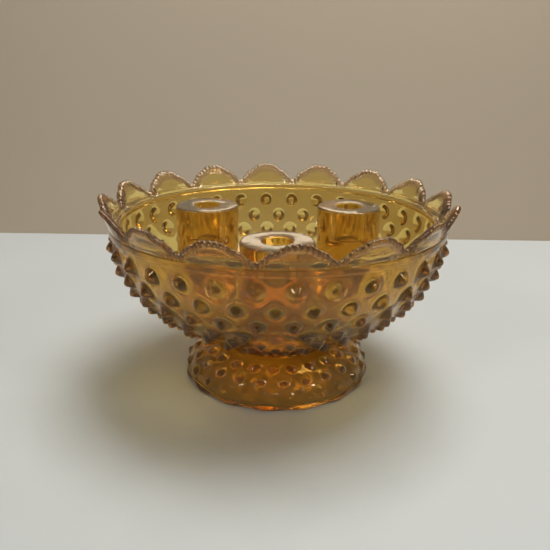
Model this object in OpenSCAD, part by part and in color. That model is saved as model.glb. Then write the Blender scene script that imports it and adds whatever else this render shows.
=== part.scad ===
// Footed hobnail candle bowl in amber glass: one pressed piece, drawn as its moulded features.
// Units are millimetres, +Z is up, the origin is the centre of the face the foot stands on.

/* [Overall] */
// Width across the tips of the scallops
rim_d = 168; // [160:1:176]
// Height from the table to the tips of the scallops
total_h = 91; // [88:0.5:96]
// Width of the foot where it stands
foot_d = 92; // [86:1:98]

/* [Bowl body] */
// Outer radius of the body just under the smooth band
body_r = 78; // [76:0.5:79]
// Wall thickness at the top of the body
wall_t = 4.6; // [3.8:0.1:5.4]
// Height of the seam where the collar starts
seam_z = 80; // [78:0.5:81]
// Height of the smooth band between the seam and the hobnails
band_h = 4; // [3:0.5:5]
// Height of the inner floor of the bowl
floor_z = 28; // [26:0.5:30]

/* [Collar and rope edge] */
// Number of scallops round the rim
scallops = 16; // [8:4:20]
// How far the valleys lie under the tips
scallop_drop = 8.2; // [7:0.2:8.6]
// Thickness of the collar at its tips
edge_t = 3.4; // [2.8:0.1:4]
// Turn of the scallops and hobnails against the cups in degrees
phase = -6; // [-12:0.5:12]
// Rope ribs on each scallop
ribs = 16; // [12:2:16]
// Half width of one rope rib
rib_r = 0.95; // [0.8:0.05:0.95]

/* [Candle cups] */
// Number of candle cups inside the bowl
cups = 3; // [2:1:3]
// Distance from the bowl axis to a cup axis
cup_pitch_r = 42; // [40:0.5:44]
// Outer radius of a cup
cup_r = 16; // [15:0.25:17]
// Diameter of a candle bore
bore_d = 13; // [11:0.2:24]
// Depth of a candle bore
bore_depth = 17; // [12:0.5:22]

/* [Hobnails] */
// Hobnails in each row of the body
hobs = 32; // [24:4:32]
// Base radius of the largest hobnails
hob_r = 4.5; // [3.8:0.1:4.8]
// Height of the largest hobnails
hob_h = 3.7; // [3:0.1:4.2]
// Hobnails in each row of the foot
foot_hobs = 24; // [16:4:24]
// Base radius of the foot hobnails
foot_hob_r = 2.9; // [2.4:0.1:3]

/* [Neck and foot] */
// Radius of the neck where it meets the bowl
neck_r = 27; // [25:0.5:29]
// Height of the underside of the bowl
neck_top_z = 21.5; // [21:0.25:22.5]
// Height of the top of the foot dome
dome_top_z = 17.3; // [16.8:0.1:17.8]
// Turn of the foot hobnails against the cups in degrees
foot_phase = -2.5; // [-7:0.5:7]
// Height of the ruffled hem ring
hem_h = 2.2; // [1.8:0.1:2.6]
// Depth of the ruffle of the hem
ruffle = 0.6; // [0:0.1:0.8]

/* [Hidden] */
$fn = 96;
rim_r = rim_d / 2;
foot_r = foot_d / 2;
collar_base_r = body_r + 1.8;
step_r = body_r - wall_t + 1.9;
tip_z = total_h - rib_r;
crest_z = tip_z - 0.12;
valley_z = tip_z - scallop_drop;
sector = 360 / scallops;
band_z = seam_z - band_h;
inner_r = body_r - wall_t;
cavity_top_z = seam_z;
bore_r = bore_d / 2;
bore_floor_z = seam_z - bore_depth;
curve_steps = 18;

// A point and the direction of a smooth curve through four guide points.
function curve_at(g, t) =
    pow(1 - t, 3) * g[0] + 3 * t * pow(1 - t, 2) * g[1]
    + 3 * t * t * (1 - t) * g[2] + pow(t, 3) * g[3];
function curve_dir(g, t) =
    pow(1 - t, 2) * (g[1] - g[0]) + 2 * t * (1 - t) * (g[2] - g[1])
    + t * t * (g[3] - g[2]);
function curve_pts(g) = [for (i = [0 : curve_steps]) curve_at(g, i / curve_steps)];

// Guide points are (radius, height) pairs.
outer_guide = [[neck_r, neck_top_z],
               [neck_r + 16, neck_top_z + 6],
               [body_r - 1, neck_top_z + 22.5],
               [body_r, band_z]];
inner_guide = [[0, floor_z],
               [34, floor_z],
               [inner_r - 3, floor_z + 13],
               [inner_r, band_z - 4]];
dome_guide = [[neck_r, dome_top_z],
              [neck_r + 11, dome_top_z - 0.5],
              [foot_r - 1.5, dome_top_z - 7.3],
              [foot_r, hem_h]];
hollow_guide = [[0, dome_top_z - 6.8],
                [28, dome_top_z - 6.3],
                [foot_r - 8, dome_top_z - 8.3],
                [foot_r - 4.5, hem_h]];

module amber_light() color([0.86, 0.62, 0.22, 0.55]) children();
module amber_mid() color([0.78, 0.47, 0.12, 0.6]) children();
module amber_deep() color([0.62, 0.32, 0.07, 0.7]) children();

// A slice of the glass inside a guide curve near t, shifted inwards by back.
module skin(g, t, back) {
    i0 = max(0, floor((t - 0.13) * curve_steps));
    i1 = min(curve_steps, ceil((t + 0.13) * curve_steps));
    face = [for (i = [i0 : i1]) curve_at(g, i / curve_steps)];
    inside = [for (i = [i1 : -1 : i0]) curve_at(g, i / curve_steps) + back];
    rotate_extrude($fn = 240)
        polygon(concat(face, inside));
}

module body_solid()
    rotate_extrude()
        polygon(concat([[0, neck_top_z]], curve_pts(outer_guide),
                       [[collar_base_r, band_z + 0.8], [collar_base_r, seam_z], [0, seam_z]]));

module cavity_solid()
    rotate_extrude()
        polygon(concat(curve_pts(inner_guide),
                       [[step_r - 1.4, cavity_top_z], [0, cavity_top_z]]));

module bowl_wall()
    amber_mid()
        difference() {
            body_solid();
            cavity_solid();
        }

// Outline of half a scallop, v from 0 at the tip to 1 in the valley: a round lobe and a shoulder.
function lobe(v) = v < 0.46 ? 0.52 + 0.48 * sqrt(1 - pow(v / 0.46, 2)) : 0;
function shoulder(v) = 0.62 * pow(max(0, cos(90 * max(0, v - 0.42) / 0.58)), 1.5);
// Height of the scallop edge from tip to tip across one valley, u from -1 to 1.
function scallop_z(u) =
    let (v = 1 - abs(u))
    valley_z + scallop_drop * (v < 0.42 ? max(lobe(v), 0.62) : max(lobe(v), shoulder(v)));
// Radius of the middle of the collar at a height.
function collar_mid_r(z) =
    let (f = (z - seam_z) / (tip_z - seam_z))
    (step_r + collar_base_r) / 2 * (1 - f) + (rim_r - edge_t / 2) * f;
// A corner of the scallop edge, with the valley facing -Y.
function edge_pt(u) =
    let (z = scallop_z(u), r = collar_mid_r(z), a = u * sector / 2)
    [r * sin(a), -r * cos(a), z];

module collar_shell()
    rotate_extrude()
        polygon([[step_r, seam_z],
                 [collar_base_r, seam_z],
                 [rim_r, crest_z],
                 [rim_r - edge_t, crest_z]]);

// Everything over the edge of one valley.
module valley_cut() {
    outline = [for (i = [0 : ribs]) let (p = edge_pt(2 * i / ribs - 1)) [p[0], p[2]]];
    translate([0, -rim_r / 2, 0])
        rotate([90, 0, 0])
            linear_extrude(height = rim_r)
                polygon(concat(outline, [[outline[ribs][0], total_h + 4],
                                         [outline[0][0], total_h + 4]]));
}

module rim_collar()
    amber_light()
        difference() {
            collar_shell();
            for (i = [0 : scallops - 1])
                rotate([0, 0, phase + i * sector]) valley_cut();
        }

// One rope rib: half a rod lying across the edge, flat side down.
module rib(length)
    rotate([90, 0, 0])
        linear_extrude(height = length, center = true)
            intersection() {
                circle(r = rib_r, $fn = 24);
                translate([-rib_r, 0]) square([2 * rib_r, rib_r]);
            }

module rope_edge()
    amber_deep()
        for (i = [0 : scallops - 1])
            rotate([0, 0, phase + i * sector])
                for (k = [0 : ribs - 1]) {
                    a = edge_pt(2 * k / ribs - 1);
                    b = edge_pt(2 * (k + 1) / ribs - 1);
                    tilt = atan2(b[2] - a[2], b[0] - a[0]);
                    translate((a + b) / 2)
                        rotate([0, -tilt, 0])
                            rib(edge_t);
                }

// A pointed hobnail on the Z axis, its widest circle at z = 0, with a short root under it.
module hobnail(r, h)
    rotate_extrude($fn = 24)
        polygon([[0, -0.35 * r],
                 [r, -0.35 * r],
                 [r, 0],
                 [0.8 * r, 0.36 * h],
                 [0.5 * r, 0.74 * h],
                 [0.24 * r, 0.94 * h],
                 [0, h]]);

// A ring of hobnails standing square on a guide curve at t, the first turned by start from -Y.
module hob_ring(g, t, count, start, r, h) {
    p = curve_at(g, t);
    d = curve_dir(g, t);
    lean = atan2(abs(d[0]), abs(d[1]));
    up = d[0] * d[1] < 0 ? 90 - lean : 90 + lean;
    for (i = [0 : count - 1])
        rotate([0, 0, start - 90 + i * 360 / count])
            translate([p[0], 0, p[1]])
                rotate([0, up, 0])
                    hobnail(r, h);
}

// Row number k of the body, counted down from the smooth band.
module hob_row(k) {
    t = 0.935 - 0.1035 * (k - 1);
    s = pow(curve_at(outer_guide, t)[0] / body_r, 0.75);
    amber_deep()
        difference() {
            hob_ring(outer_guide, t, hobs, phase + (k % 2 == 0 ? 180 / hobs : 0), hob_r * s, hob_h * s);
            skin(outer_guide, t, [-5, 5]);
        }
}

module foot_hob_row(k) {
    t = 0.25 + 0.27 * (k - 1);
    amber_deep()
        difference() {
            hob_ring(dome_guide, t, foot_hobs, foot_phase + (k % 2 == 0 ? 180 / foot_hobs : 0),
                     foot_hob_r, 0.62 * foot_hob_r);
            skin(dome_guide, t, [-5, -5]);
        }
}

module candle_cup(k)
    amber_mid()
        difference() {
            intersection() {
                cavity_solid();
                rotate([0, 0, -90 + k * 360 / cups])
                    translate([cup_pitch_r, 0, floor_z - 4])
                        cylinder(r = cup_r, h = seam_z - floor_z + 4);
            }
            rotate([0, 0, -90 + k * 360 / cups])
                translate([cup_pitch_r, 0, bore_floor_z])
                    cylinder(r = bore_r, h = bore_depth + 1);
        }

module neck()
    amber_deep()
        rotate_extrude()
            polygon([[0, dome_top_z],
                     [neck_r, dome_top_z],
                     [neck_r - 0.8, dome_top_z + 0.7],
                     [neck_r - 1.2, (dome_top_z + neck_top_z) / 2],
                     [neck_r - 0.8, neck_top_z - 0.7],
                     [neck_r, neck_top_z],
                     [0, neck_top_z]]);

module dome_solid()
    rotate_extrude()
        polygon(concat([[0, dome_top_z]], curve_pts(dome_guide), [[0, hem_h]]));

module foot_dome()
    amber_mid()
        difference() {
            dome_solid();
            rotate_extrude()
                polygon(concat(curve_pts(hollow_guide), [[foot_r - 4.5, hem_h - 1], [0, hem_h - 1]]));
        }

module foot_hem()
    amber_deep()
        difference() {
            linear_extrude(height = hem_h)
                polygon([for (i = [0 : 127]) let (a = i * 360 / 128, r = foot_r + ruffle * cos(a * scallops))
                         [r * cos(a), r * sin(a)]]);
            translate([0, 0, -1]) cylinder(r = foot_r - 4.5, h = hem_h + 2);
        }

bowl_wall();
rim_collar();
rope_edge();
hob_row(1);  // hob_row_1
hob_row(2);  // hob_row_2
hob_row(3);  // hob_row_3
hob_row(4);  // hob_row_4
hob_row(5);  // hob_row_5
hob_row(6);  // hob_row_6
hob_row(7);  // hob_row_7
candle_cup(0);  // candle_cup_front
candle_cup(1);  // candle_cup_right
candle_cup(2);  // candle_cup_left
neck();
foot_dome();
foot_hem();
foot_hob_row(1);  // foot_hob_row_1
foot_hob_row(2);  // foot_hob_row_2
foot_hob_row(3);  // foot_hob_row_3
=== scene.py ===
import math

import bpy
import numpy as np
from mathutils import Matrix, Vector


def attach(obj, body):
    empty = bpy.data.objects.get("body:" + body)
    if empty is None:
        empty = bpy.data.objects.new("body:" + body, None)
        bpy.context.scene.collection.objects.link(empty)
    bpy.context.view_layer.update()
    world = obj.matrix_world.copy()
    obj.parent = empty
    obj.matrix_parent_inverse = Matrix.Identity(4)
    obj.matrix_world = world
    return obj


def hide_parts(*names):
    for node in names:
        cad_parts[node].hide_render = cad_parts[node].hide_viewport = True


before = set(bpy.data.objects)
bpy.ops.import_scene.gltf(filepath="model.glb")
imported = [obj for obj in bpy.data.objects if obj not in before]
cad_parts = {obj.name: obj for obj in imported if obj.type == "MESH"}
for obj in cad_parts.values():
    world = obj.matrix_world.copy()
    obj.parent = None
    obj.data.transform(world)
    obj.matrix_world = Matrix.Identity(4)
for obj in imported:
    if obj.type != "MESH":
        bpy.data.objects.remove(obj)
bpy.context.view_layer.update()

MM = 0.001
TAU = 2 * math.pi

# Sizes in millimetres. Heights and the places of cups and hobnails are the CAD's, but VALLEY_Z is 0.2 lower.
SEAM_Z = 80.0
TIP_Z = 91.0
VALLEY_Z = 82.6
FLOOR_Z = 28.0
GAP = 0.04  # half of the air left between two faces that meet inside the glass
SCALLOPS = 16
HOBS = 32
PHASE = math.radians(-6 - 90)  # a valley of the rim, and a hobnail of the top row
FOOT_HOBS = 24
FOOT_PHASE = math.radians(-2.5 - 90)
CUP_PITCH_R, CUP_R, BORE_R = 42.0, 16.0, 6.5
BORE_FLOOR_Z = 63.0
CUP_ANGLES = (-90, 30, 150)
CUP_SEAT_R = 18.5  # where the fillet round a cup ends
TABLE_Z = -0.1  # just under the foot, so the two never share a face

# Marks on faces, which the glass reads.
FREE = 0.0  # an outer face
EDGE_SHADE_MARK = 0.15  # the rope and the hem, which are tinted darker as painted shade
SEAT_MARK = 0.5  # the bowl's inner face: a joint under each cup, an outer face elsewhere
JOINT = 1.0  # a face that meets another piece of the same glass

OUTER_GUIDE = ((27, 21.5), (43, 27.5), (77, 44), (78, 76))
INNER_GUIDE = ((0, 28), (34, 28), (70.4, 41), (73.4, 72))
DOME_GUIDE = ((27, 17.3), (38, 16.8), (44.5, 10), (46, 2.2))
HOLLOW_GUIDE = ((41.5, 2.2), (38, 9), (28, 11), (0, 10.5))


# ---------------------------------------------------------------- curves

def bezier(guide, t):
    g = np.asarray(guide, float)
    t = np.asarray(t, float)[:, None]
    return ((1 - t) ** 3 * g[0] + 3 * t * (1 - t) ** 2 * g[1]
            + 3 * t * t * (1 - t) * g[2] + t ** 3 * g[3])


def even_bezier(guide, count):
    """count points at even steps of length along the curve, and those lengths."""
    fine = bezier(guide, np.linspace(0, 1, 2001))
    run = lengths(fine)
    s = np.linspace(0, run[-1], count)
    return np.stack([np.interp(s, run, fine[:, i]) for i in (0, 1)], 1), s


def length_at(guide, t):
    """How far along the curve its parameter t lies."""
    fine = bezier(guide, np.linspace(0, 1, 2001))
    return float(np.interp(t, np.linspace(0, 1, 2001), lengths(fine)))


def lengths(points):
    step = np.linalg.norm(np.diff(points, axis=0), axis=1)
    return np.concatenate([[0], np.cumsum(step)])


def rounded(points, radii, steps=6):
    """A line through points with its corners rounded."""
    out = [np.asarray(points[0], float)]
    for i in range(1, len(points) - 1):
        a, b, c = (np.asarray(points[j], float) for j in (i - 1, i, i + 1))
        r = radii[i - 1]
        if not r:
            out.append(b)
            continue
        p = b + (a - b) / np.linalg.norm(a - b) * min(r, 0.5 * np.linalg.norm(a - b))
        q = b + (c - b) / np.linalg.norm(c - b) * min(r, 0.5 * np.linalg.norm(c - b))
        for t in np.linspace(0, 1, steps + 1):
            out.append((1 - t) ** 2 * p + 2 * t * (1 - t) * b + t * t * q)
    out.append(np.asarray(points[-1], float))
    return np.array(out)


INNER_CURVE = bezier(INNER_GUIDE, np.linspace(0, 1, 2001))


def inner_height(r):
    """Height of the bowl's inner face at a radius."""
    return np.interp(r, INNER_CURVE[:, 0], INNER_CURVE[:, 1])


# ---------------------------------------------------------------- meshes

class Skin:
    """A closed skin built ring by ring, with a mark on each face for where it meets its neighbour, and on
    the rope and hem for their painted shade.
    """

    def __init__(self):
        self.verts, self.faces, self.marks = [], [], []
        self.count = 0

    def ring(self, points):
        self.verts.append(points)
        self.count += len(points)
        return np.arange(self.count - len(points), self.count)

    def quads(self, a, b, mark=FREE):
        """Faces from ring a to ring b, which have the same number of points."""
        a2, b2 = np.roll(a, -1), np.roll(b, -1)
        self.faces += np.stack([a, a2, b2, b], 1).tolist()
        self.marks += [mark] * len(a)

    def step(self, a, b, mark=FREE):
        """Faces from ring a to ring b, which has a whole number of times fewer points."""
        k = len(a) // len(b)
        for i in range(len(b)):
            j = (i + 1) % len(b)
            side = [a[(i * k + n) % len(a)] for n in range(k + 1)]
            self.faces.append([int(v) for v in side + [b[j], b[i]]])
            self.marks.append(mark)

    def cap(self, a, mark):
        """One flat face over ring a, turned the other way from the rings' faces."""
        self.faces.append([int(v) for v in a[::-1]])
        self.marks.append(mark)

    def fan(self, a, point, mark=FREE):
        """Faces from ring a to one point."""
        c = self.ring(np.asarray([point], float))[0]
        for i in range(len(a)):
            self.faces.append([int(a[i]), int(a[(i + 1) % len(a)]), int(c)])
            self.marks.append(mark)

    def piece(self, name, material, nodes, sharp=50):
        mesh = bpy.data.meshes.new(name)
        verts = np.concatenate(self.verts) * MM
        mesh.from_pydata(verts.tolist(), [], self.faces)
        mark = mesh.attributes.new("joint", "FLOAT", "FACE")
        mark.data.foreach_set("value", self.marks)
        mesh.update()
        mesh.shade_smooth()
        mesh.set_sharp_from_angle(angle=math.radians(sharp))
        mesh.materials.append(material)
        obj = bpy.data.objects.new(name, mesh)
        bpy.context.scene.collection.objects.link(obj)
        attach(obj, "root")
        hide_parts(*nodes)


def turned(section, columns):
    """Rings of points for a section of (radius, height) pairs turned about Z."""
    a = np.arange(columns) / columns * TAU
    r, z = section[:, 0][:, None], section[:, 1][:, None]
    return np.stack([r * np.cos(a), r * np.sin(a), z + 0 * a], 2)


def outward(section):
    """The direction square to a section on its right-hand side."""
    d = np.gradient(section, axis=0)
    n = np.stack([d[:, 1], -d[:, 0]], 1)
    return n / np.linalg.norm(n, axis=1)[:, None]


def hobbed(guide, rows, columns, count, first, places, radii, heights, side=1, soft=0.3):
    """Rings for a curve turned about Z, raised into staggered rows of pointed hobnails."""
    section, s = even_bezier(guide, rows)
    n = side * outward(section)
    a = np.arange(columns) / columns * TAU
    rise = np.zeros((rows, columns))
    pitch = TAU / count
    for k, (t, radius, height) in enumerate(zip(places, radii, heights)):
        start = first + (pitch / 2 if k % 2 else 0)
        off = (a - start + pitch / 2) % pitch - pitch / 2
        row_r = float(bezier(guide, [t])[0, 0])
        along = (s - length_at(guide, t))[:, None]
        across = off[None, :] * (0.5 * (section[:, 0][:, None] + row_r))
        x = 1 - ((along ** 2 + across ** 2) / radius ** 2 + 0.05) ** 0.66
        rise += height * 0.5 * (x + np.sqrt(x * x + soft * soft)) / (0.5 + 0.5 * math.hypot(1, soft))
    r = section[:, 0][:, None] + rise * n[:, 0][:, None]
    z = section[:, 1][:, None] + rise * n[:, 1][:, None]
    return np.stack([r * np.cos(a), r * np.sin(a), z], 2)


# ---------------------------------------------------------------- glass

GLASS_IOR = 1.5
JOINT_IOR = 1.001  # so nearly air that light goes straight on


def glass(name, density):
    m = bpy.data.materials.new(name)
    m.use_nodes = True
    nt = m.node_tree
    nt.nodes.clear()
    new, link = nt.nodes.new, nt.links.new
    out = new("ShaderNodeOutputMaterial")
    bsdf = new("ShaderNodeBsdfPrincipled")
    link(bsdf.outputs["BSDF"], out.inputs["Surface"])
    bsdf.inputs["Transmission Weight"].default_value = 0.955
    bsdf.inputs["Specular Tint"].default_value = (1.0, 0.72, 0.45, 1)
    bsdf.inputs["IOR"].default_value = GLASS_IOR

    def math_node(op, a, b=None, clamp=False):
        n = new("ShaderNodeMath")
        n.operation = op
        n.use_clamp = clamp
        for i, v in enumerate((a, b)):
            if v is None:
                continue
            if isinstance(v, (int, float)):
                n.inputs[i].default_value = v
            else:
                link(v, n.inputs[i])
        return n.outputs[0]

    coords = new("ShaderNodeTexCoord")
    place = coords.outputs["Object"]
    split = new("ShaderNodeSeparateXYZ")
    link(place, split.inputs[0])

    # Where two pieces of the same pressed glass meet, light goes straight on.
    mark = new("ShaderNodeAttribute")
    mark.attribute_name = "joint"
    flat = new("ShaderNodeCombineXYZ")
    link(split.outputs["X"], flat.inputs["X"])
    link(split.outputs["Y"], flat.inputs["Y"])
    near = None
    for angle in CUP_ANGLES:
        d = new("ShaderNodeVectorMath")
        d.operation = "DISTANCE"
        link(flat.outputs[0], d.inputs[0])
        a = math.radians(angle)
        d.inputs[1].default_value = (CUP_PITCH_R * MM * math.cos(a), CUP_PITCH_R * MM * math.sin(a), 0)
        near = d.outputs["Value"] if near is None else math_node("MINIMUM", near, d.outputs["Value"])
    seat = math_node("LESS_THAN", near, CUP_SEAT_R * MM)
    on_floor = math_node("MULTIPLY", math_node("GREATER_THAN", mark.outputs["Fac"], 0.25), seat)
    joint = math_node("MAXIMUM", math_node("GREATER_THAN", mark.outputs["Fac"], 0.75), on_floor)
    free = math_node("SUBTRACT", 1.0, joint)
    link(math_node("ADD", math_node("MULTIPLY", free, GLASS_IOR - JOINT_IOR), JOINT_IOR),
         bsdf.inputs["IOR"])

    # Fire-polished glass: soft waves, a faintly uneven gloss, and wear where it stands.
    waves = new("ShaderNodeTexNoise")
    link(place, waves.inputs["Vector"])
    waves.inputs["Scale"].default_value = 90
    waves.inputs["Detail"].default_value = 2.5
    waves.inputs["Roughness"].default_value = 0.45
    bump = new("ShaderNodeBump")
    link(waves.outputs["Fac"], bump.inputs["Height"])
    bump.inputs["Strength"].default_value = 0.35
    bump.inputs["Distance"].default_value = 0.0006
    link(bump.outputs["Normal"], bsdf.inputs["Normal"])
    smear = new("ShaderNodeTexNoise")
    link(place, smear.inputs["Vector"])
    smear.inputs["Scale"].default_value = 45
    smear.inputs["Detail"].default_value = 5
    gloss = math_node("MULTIPLY", math_node("SUBTRACT", smear.outputs["Fac"], 0.42, clamp=True), 0.16)
    low = math_node("MULTIPLY", math_node("LESS_THAN", split.outputs["Z"], 0.0006), 0.25)
    rough = math_node("MULTIPLY", math_node("ADD", math_node("ADD", gloss, low), 0.07), free)
    link(rough, bsdf.inputs["Roughness"])
    link(math_node("MULTIPLY", free, 0.2), bsdf.inputs["Coat Weight"])
    bsdf.inputs["Coat Roughness"].default_value = 0.015
    bsdf.inputs["Coat IOR"].default_value = GLASS_IOR

    cloud = new("ShaderNodeTexNoise")
    link(place, cloud.inputs["Vector"])
    cloud.inputs["Scale"].default_value = 22
    cloud.inputs["Detail"].default_value = 3
    tint = new("ShaderNodeMix")
    tint.data_type = "RGBA"
    link(cloud.outputs["Fac"], tint.inputs["Factor"])
    tint.inputs[6].default_value = (0.95, 0.785, 0.30, 1)
    tint.inputs[7].default_value = (0.97, 0.84, 0.38, 1)
    # Painted shade: the rope and the hem are tinted darker than the rest of the glass.
    edge = new("ShaderNodeMix")
    edge.data_type = "RGBA"
    painted_edge_shade = math_node("MULTIPLY", math_node("GREATER_THAN", mark.outputs["Fac"], 0.1),
                     math_node("LESS_THAN", mark.outputs["Fac"], 0.2))
    link(painted_edge_shade, edge.inputs["Factor"])
    link(tint.outputs[2], edge.inputs[6])
    edge.inputs[7].default_value = (0.70, 0.53, 0.37, 1)
    clear = new("ShaderNodeMix")
    clear.data_type = "RGBA"
    link(joint, clear.inputs["Factor"])
    link(edge.outputs[2], clear.inputs[6])
    clear.inputs[7].default_value = (1, 1, 1, 1)
    link(clear.outputs[2], bsdf.inputs["Base Color"])

    soak = new("ShaderNodeVolumeAbsorption")
    soak.inputs["Color"].default_value = (0.78, 0.56, 0.02, 1)
    soak.inputs["Density"].default_value = density
    link(soak.outputs["Volume"], out.inputs["Volume"])
    return m


AMBER = glass("amber_glass", 135)
# The cups' copy of the same glass absorbs less, so they look paler: painted light.
PAINTED_LIGHT_AMBER = glass("amber_glass_cups_painted_light", 70)
# The foot's copy of the same glass absorbs more, so it looks darker: painted shade.
PAINTED_SHADE_AMBER = glass("amber_glass_foot_painted_shade", 145)


# ---------------------------------------------------------------- bowl

def bowl():
    """The wall, its lip, its seven rows of hobnails and the floor."""
    columns, inner_columns = 768, 384
    skin = Skin()
    places = [0.935 - 0.1035 * k for k in range(7)]
    size = [(float(bezier(OUTER_GUIDE, [t])[0, 0]) / 78) ** 0.75 for t in places]
    body = hobbed(OUTER_GUIDE, 112, columns, HOBS, PHASE, places,
                  [3.9 * f for f in size], [4.35 * f for f in size])
    lip = rounded([(78.0, 76.05), (78.1, 76.7), (79.9, 76.95), (79.8, SEAM_Z - 0.35),
                   (79.5, SEAM_Z - GAP)], [0.7, 0.7, 0.4])
    rings = [skin.ring(p) for p in body]
    rings += [skin.ring(p) for p in turned(lip[1:], columns)]
    skin.cap(rings[0], JOINT)
    for a, b in zip(rings, rings[1:]):
        skin.quads(a, b)
    ledge = rounded([(75.3, SEAM_Z - GAP), (73.9, SEAM_Z - GAP), (73.4, 72.0)], [0.8], 5)
    wall, _ = even_bezier(INNER_GUIDE, 66)
    inner = np.concatenate([ledge[:-1], wall[:0:-1]])
    rows = [skin.ring(p) for p in turned(inner, inner_columns)]
    skin.step(rings[-1], rows[0], mark=JOINT)
    for i, (a, b) in enumerate(zip(rows, rows[1:])):
        skin.quads(a, b, mark=SEAT_MARK if i >= len(ledge) - 1 else FREE)
    skin.fan(rows[-1], (0, 0, FLOOR_Z), mark=SEAT_MARK)
    nodes = ["bowl_wall"] + ["hob_row_%d" % k for k in range(1, 8)]
    skin.piece("bowl_glass", AMBER, nodes)


def cup(name, angle):
    """A candle cup, its foot spread in a small fillet on the bowl's inner face."""
    columns = 128
    skin = Skin()
    a = np.arange(columns) / columns * TAU
    turn = math.radians(angle)
    cx, cy = CUP_PITCH_R * math.cos(turn), CUP_PITCH_R * math.sin(turn)

    def around(rho, z):
        return np.stack([cx + rho * np.cos(a), cy + rho * np.sin(a), z + 0 * a], 1)

    def floor_at(rho):
        return inner_height(np.hypot(cx + rho * np.cos(a), cy + rho * np.sin(a))) + 2 * GAP

    bore = rounded([(1.5, BORE_FLOOR_Z), (BORE_R - 0.4, BORE_FLOOR_Z), (BORE_R, SEAM_Z), (CUP_R, SEAM_Z),
                    (CUP_R, SEAM_Z - 6)], [1.5, 1.0, 1.3], 8)
    rows = [skin.ring(around(r, z)) for r, z in bore]
    skin.fan(rows[0][::-1], (cx, cy, BORE_FLOOR_Z))
    top, end = floor_at(CUP_R) + 3.0, floor_at(CUP_SEAT_R)
    knee = floor_at(CUP_R + 0.1)
    for f in np.linspace(0.25, 1, 4):
        rows.append(skin.ring(around(CUP_R, (SEAM_Z - 6) * (1 - f) + top * f)))
    for f in np.linspace(1 / 7, 1, 7):
        rho = (1 - f) ** 2 * CUP_R + 2 * f * (1 - f) * (CUP_R + 0.1) + f * f * CUP_SEAT_R
        rows.append(skin.ring(around(rho, (1 - f) ** 2 * top + 2 * f * (1 - f) * knee + f * f * end)))
    for p, q in zip(rows, rows[1:]):
        skin.quads(p, q)
    last = rows[-1]
    for rho in np.linspace(CUP_SEAT_R - 1.5, 1.5, 11):
        ring = skin.ring(around(rho, floor_at(rho)))
        skin.quads(last, ring, mark=JOINT)
        last = ring
    skin.fan(last, (cx, cy, float(inner_height(CUP_PITCH_R)) + 2 * GAP), mark=JOINT)
    skin.faces = [f[::-1] for f in skin.faces]
    skin.piece(name, PAINTED_LIGHT_AMBER, [name.replace("glass", "cup")])


# ---------------------------------------------------------------- collar and rope edge

# Half a scallop from its tip to the valley: a round lobe, then a shoulder. Within about 1 mm of the CAD's.
LOBE = ((0, 1), (0.14, 0.99), (0.27, 0.945), (0.38, 0.83), (0.46, 0.70), (0.54, 0.62),
        (0.62, 0.57), (0.73, 0.42), (0.84, 0.2), (0.93, 0.04), (1, 0))
STRANDS = 16
PER_STRAND = 8
ROPE_R = 1.85


def edge_height(turn):
    """Height of the scalloped edge, turn in scallops from a valley."""
    v = 1 - np.abs((turn % 1) * 2 - 1)
    fine = np.linspace(-0.2, 1.2, 1401)
    v_guide, h_guide = np.array(LOBE).T
    raw = np.interp(1 - np.abs(1 - np.abs(fine)), v_guide, h_guide)
    kernel = np.exp(-0.5 * (np.arange(-75, 76) / 22.0) ** 2)
    smooth = np.convolve(raw, kernel / kernel.sum(), mode="same")
    return VALLEY_Z + (TIP_Z - VALLEY_Z) * np.interp(1 - v, fine, smooth)


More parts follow.
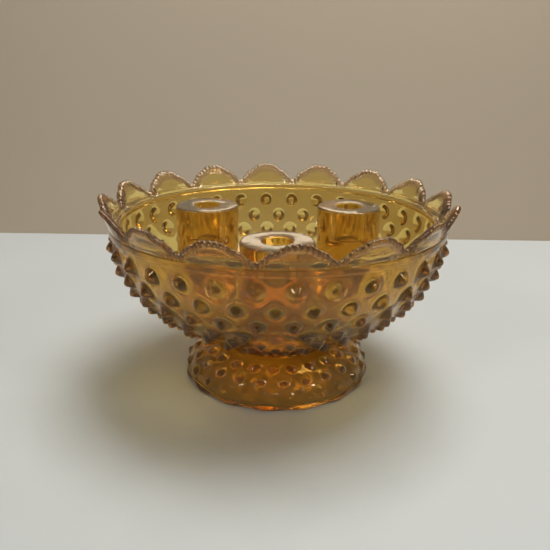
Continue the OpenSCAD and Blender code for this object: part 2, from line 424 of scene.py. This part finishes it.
def collar():
    """The flared collar over the seam, its scallops, and the rope that runs along their edge."""
    fine = np.linspace(0, 1, 4001)
    height = edge_height(fine)
    run = lengths(np.stack([fine * TAU / SCALLOPS * 82.5, height], 1))
    per = STRANDS * PER_STRAND
    turn = np.interp(np.arange(per) / per * run[-1], run, fine)
    columns = per * SCALLOPS
    turns = np.concatenate([turn + k for k in range(SCALLOPS)])
    a = PHASE + turns * TAU / SCALLOPS
    top = edge_height(turns)
    width = TAU / SCALLOPS * 82.5
    slope = (edge_height(turns + 0.004) - edge_height(turns - 0.004)) / (0.008 * width)
    tall = ROPE_R * np.sqrt(1 + np.clip(slope, -1.6, 1.6) ** 2)
    centre = top - tall
    base = SEAM_Z + GAP
    start = np.arcsin(np.clip((base + 0.05 - centre) / tall, math.sin(-0.82), 0.5))
    strand = np.arange(columns) * TAU / PER_STRAND

    def mid_r(z):
        f = (z - SEAM_Z) / (TIP_Z - SEAM_Z)
        return 77.55 * (1 - f) + 83.0 * f

    def bead(share, side):
        """Points on the rope, share 0 where it leaves the wall and 1 at its crest."""
        angle = start * (1 - share) + math.pi / 2 * share
        way = angle if side > 0 else math.pi - angle
        lay = strand + 1.3 * way
        groove = np.abs(np.cos(lay / 2)) ** 3
        k = 1 - 0.28 * groove * np.clip(share * 5, 0, 1)
        half, z = ROPE_R * k * np.cos(angle), centre + tall * k * np.sin(angle)
        return mid_r(z) + side * half, z, half

    rings, on_rope = [], []
    skin = Skin()

    def add(r, z):
        rings.append(skin.ring(np.stack([r * np.cos(a), r * np.sin(a), z + 0 * a], 1)))

    for side in (1, -1):
        half0 = ROPE_R * np.cos(start)
        z0 = centre + tall * np.sin(start)
        foot = [(2.0 if side > 0 else 2.25, base), (2.23 if side > 0 else 2.25, base + 0.3)]
        share = list(np.linspace(0, 1, 7)[1:-1])
        part = [(mid_r(foot[0][1]) + side * foot[0][0], foot[0][1] + 0 * a)]
        part.append((mid_r(foot[1][1]) + side * foot[1][0], np.minimum(foot[1][1], z0 - 0.02)))
        for f in share:
            z = part[1][1] * (1 - f) + z0 * f
            half = foot[1][0] * (1 - f) ** 1.5 + half0 * (1 - (1 - f) ** 1.5)
            part.append((mid_r(z) + side * half, z))
        for f in np.linspace(0, 1, 10)[: 10 if side > 0 else 9]:
            r, z, _ = bead(np.full(columns, f), side)
            part.append((r, z))
        # The rope's rings carry the mark for painted shade.
        painted_edge_shade = [FREE] * (len(part) - 9) + [EDGE_SHADE_MARK] * 9
        for r, z in part if side > 0 else part[::-1]:
            add(r, z)
        on_rope += painted_edge_shade if side > 0 else painted_edge_shade[::-1]
    for p, q, mark in zip(rings, rings[1:], on_rope):
        skin.quads(p, q, mark)
    skin.quads(rings[-1], rings[0], mark=JOINT)
    skin.piece("collar_glass", AMBER, ["rim_collar", "rope_edge"], 60)


# ---------------------------------------------------------------- foot

def foot():
    """The neck, the domed foot with its hobnails, the ruffled hem and the hollow below."""
    columns, inner_columns = 576, 192
    skin = Skin()
    a = np.arange(columns) / columns * TAU
    neck = rounded([(27, 21.5 - 2 * GAP), (25.7, 20.4), (25.7, 18.4), (27, 17.3)], [1.2, 1.2], 6)
    places = [0.25, 0.52, 0.79]
    dome = hobbed(DOME_GUIDE, 52, columns, FOOT_HOBS, FOOT_PHASE, places, [2.95] * 3, [1.9] * 3, -1)
    rings = [skin.ring(p) for p in turned(neck[:-1], columns)]
    rings += [skin.ring(p) for p in dome]
    ruffle = np.cos((a - PHASE) * SCALLOPS)
    hem = rounded([(46.0, 2.2), (46.35, 1.9), (46.2, 0.0), (43.6, 0.0)], [0.3, 1.1], 6)
    for r, z in hem[1:]:
        grow = np.clip((r - 43.6) / 2.4, 0, 1) * np.clip((2.4 - z) / 1.0, 0, 1)
        radius = r + 0.55 * ruffle * grow
        rings.append(skin.ring(np.stack([radius * np.cos(a), radius * np.sin(a), z + 0 * a], 1)))
    # The hem's faces carry the mark for painted shade.
    for i, (p, q) in enumerate(zip(rings, rings[1:])):
        skin.quads(p, q, mark=EDGE_SHADE_MARK if i >= len(rings) - len(hem) else FREE)
    skin.cap(rings[0], JOINT)
    hollow, _ = even_bezier(HOLLOW_GUIDE, 40)
    inside_edge = rounded([(42.4, 0.0), (41.6, 0.15), (41.5, 2.2)], [0.5], 4)
    under = np.concatenate([inside_edge[:-1], hollow[:-1]])
    rows = [skin.ring(p) for p in turned(under, inner_columns)]
    skin.step(rings[-1], rows[0])
    for p, q in zip(rows, rows[1:]):
        skin.quads(p, q)
    skin.fan(rows[-1], (0, 0, 10.5))
    skin.faces = [f[::-1] for f in skin.faces]
    nodes = ["neck", "foot_dome", "foot_hem"] + ["foot_hob_row_%d" % k for k in (1, 2, 3)]
    skin.piece("foot_glass", PAINTED_SHADE_AMBER, nodes)


bowl()
for side, angle in zip(("front", "right", "left"), CUP_ANGLES):
    cup("candle_glass_" + side, angle)
collar()
foot()


# ---------------------------------------------------------------- stage

def matte(name, base, other, scale, rough):
    m = bpy.data.materials.new(name)
    m.use_nodes = True
    nt = m.node_tree
    bsdf = nt.nodes["Principled BSDF"]
    bsdf.inputs["Roughness"].default_value = rough
    coords = nt.nodes.new("ShaderNodeTexCoord")
    noise = nt.nodes.new("ShaderNodeTexNoise")
    noise.inputs["Scale"].default_value = scale
    noise.inputs["Detail"].default_value = 4
    nt.links.new(coords.outputs["Object"], noise.inputs["Vector"])
    mix = nt.nodes.new("ShaderNodeMix")
    mix.data_type = "RGBA"
    nt.links.new(noise.outputs["Fac"], mix.inputs["Factor"])
    mix.inputs[6].default_value = (*base, 1)
    mix.inputs[7].default_value = (*other, 1)
    nt.links.new(mix.outputs[2], bsdf.inputs["Base Color"])
    return m


def sheet(name, corners, material):
    mesh = bpy.data.meshes.new(name)
    mesh.from_pydata(corners, [], [(0, 1, 2, 3)])
    mesh.materials.append(material)
    obj = bpy.data.objects.new(name, mesh)
    bpy.context.scene.collection.objects.link(obj)
    return obj


# The stage, lights and camera are in metres.
TABLE_BACK = 0.235
TABLE_SKEW = 0.035  # the far edge runs a little askew
WALL_Y = 0.75
top = TABLE_Z * MM
sheet("table_top", [(-2.2, -2.4, top), (2.2, -2.4, top), (2.2, TABLE_BACK - TABLE_SKEW, top),
                    (-2.2, TABLE_BACK + TABLE_SKEW, top)],
      matte("painted_table", (0.36, 0.372, 0.36), (0.40, 0.412, 0.40), 6, 0.55))
sheet("room_wall", [(-3, WALL_Y, -0.6), (3, WALL_Y, -0.6), (3, WALL_Y, 2.2), (-3, WALL_Y, 2.2)],
      matte("wall_paint", (0.435, 0.358, 0.262), (0.46, 0.38, 0.276), 3, 0.8))


def area(name, place, target, size, power, colour):
    light = bpy.data.lights.new(name, "AREA")
    light.shape = "RECTANGLE"
    light.size, light.size_y = size
    light.energy = power
    light.color = colour
    obj = bpy.data.objects.new(name, light)
    obj.location = place
    obj.rotation_euler = (Vector(target) - Vector(place)).to_track_quat("-Z", "Y").to_euler()
    bpy.context.scene.collection.objects.link(obj)
    return obj


area("window_left", (-1.1, -1.2, 1.1), (0, 0, 0.04), (0.2, 0.35), 5, (0.93, 0.97, 1.0))
area("window_right", (1.25, -0.9, 1.1), (0, 0, 0.04), (0.2, 0.35), 5, (1.0, 0.98, 0.95))
area("ceiling", (0.25, 0.2, 1.4), (0, 0, 0), (0.9, 0.6), 25, (1.0, 0.99, 0.97))
# Gives the flat tops of the cups their pale shine.
far = area("window_far", (0, 0.70, 0.288), (0, 0, 0.08), (0.26, 0.05), 0.075, (1.0, 0.90, 0.68))
far.visible_camera = False
# Out of sight under the table's far edge, it lights the foot of the wall.
area("wall_wash", (0, 0.35, -0.25), (0, 0.75, 0.0), (1.6, 0.1), 1.6, (1.0, 0.98, 0.95))

world = bpy.data.worlds.new("studio")
bpy.context.scene.world = world
world.use_nodes = True
sky = world.node_tree.nodes["Background"]
# The room: bright above and behind the bowl, dim low down and behind the camera.
tree = world.node_tree
where = tree.nodes.new("ShaderNodeTexCoord")
axes = tree.nodes.new("ShaderNodeSeparateXYZ")
tree.links.new(where.outputs["Generated"], axes.inputs[0])
lean = tree.nodes.new("ShaderNodeMath")
lean.operation = "MULTIPLY_ADD"
tree.links.new(axes.outputs["Y"], lean.inputs[0])
lean.inputs[1].default_value = 0.45
tree.links.new(axes.outputs["Z"], lean.inputs[2])
ramp = tree.nodes.new("ShaderNodeMapRange")
tree.links.new(lean.outputs[0], ramp.inputs["Value"])
ramp.inputs["From Min"].default_value = -0.5
ramp.inputs["From Max"].default_value = 1.1
ramp.inputs["To Min"].default_value = 0.03
ramp.inputs["To Max"].default_value = 0.40
tree.links.new(ramp.outputs["Result"], sky.inputs["Strength"])
sky.inputs["Color"].default_value = (0.92, 0.90, 0.87, 1)

# ---------------------------------------------------------------- camera

IMAGE_SIZE = 550
FOCAL = 623.5  # in the same units as the image's side
CAMERA_PLACE = (0, -0.2922, 0.1553)
SENSOR = 36

yaw, pitch, roll = (math.radians(v) for v in (-0.22, 19.92, 0.53))
forward = Vector((math.sin(yaw) * math.cos(pitch), math.cos(yaw) * math.cos(pitch), -math.sin(pitch)))
right = Vector((math.cos(yaw), -math.sin(yaw), 0))
up = right.cross(forward)
right, up = (math.cos(roll) * right + math.sin(roll) * up, -math.sin(roll) * right + math.cos(roll) * up)
lens = bpy.data.cameras.new("camera")
lens.sensor_width = SENSOR
lens.lens = SENSOR * FOCAL / IMAGE_SIZE
lens.clip_start, lens.clip_end = 0.01, 20
camera = bpy.data.objects.new("camera", lens)
turn = Matrix((right, up, -forward)).transposed()
camera.matrix_world = Matrix.Translation(CAMERA_PLACE) @ turn.to_4x4()
bpy.context.scene.collection.objects.link(camera)
bpy.context.scene.camera = camera

scene = bpy.context.scene
scene.view_settings.view_transform = "Standard"
LIGHT_BOUNCES = 32  # light crosses many faces of the glass
scene.cycles.max_bounces = LIGHT_BOUNCES
scene.cycles.transmission_bounces = LIGHT_BOUNCES
scene.cycles.transparent_max_bounces = LIGHT_BOUNCES
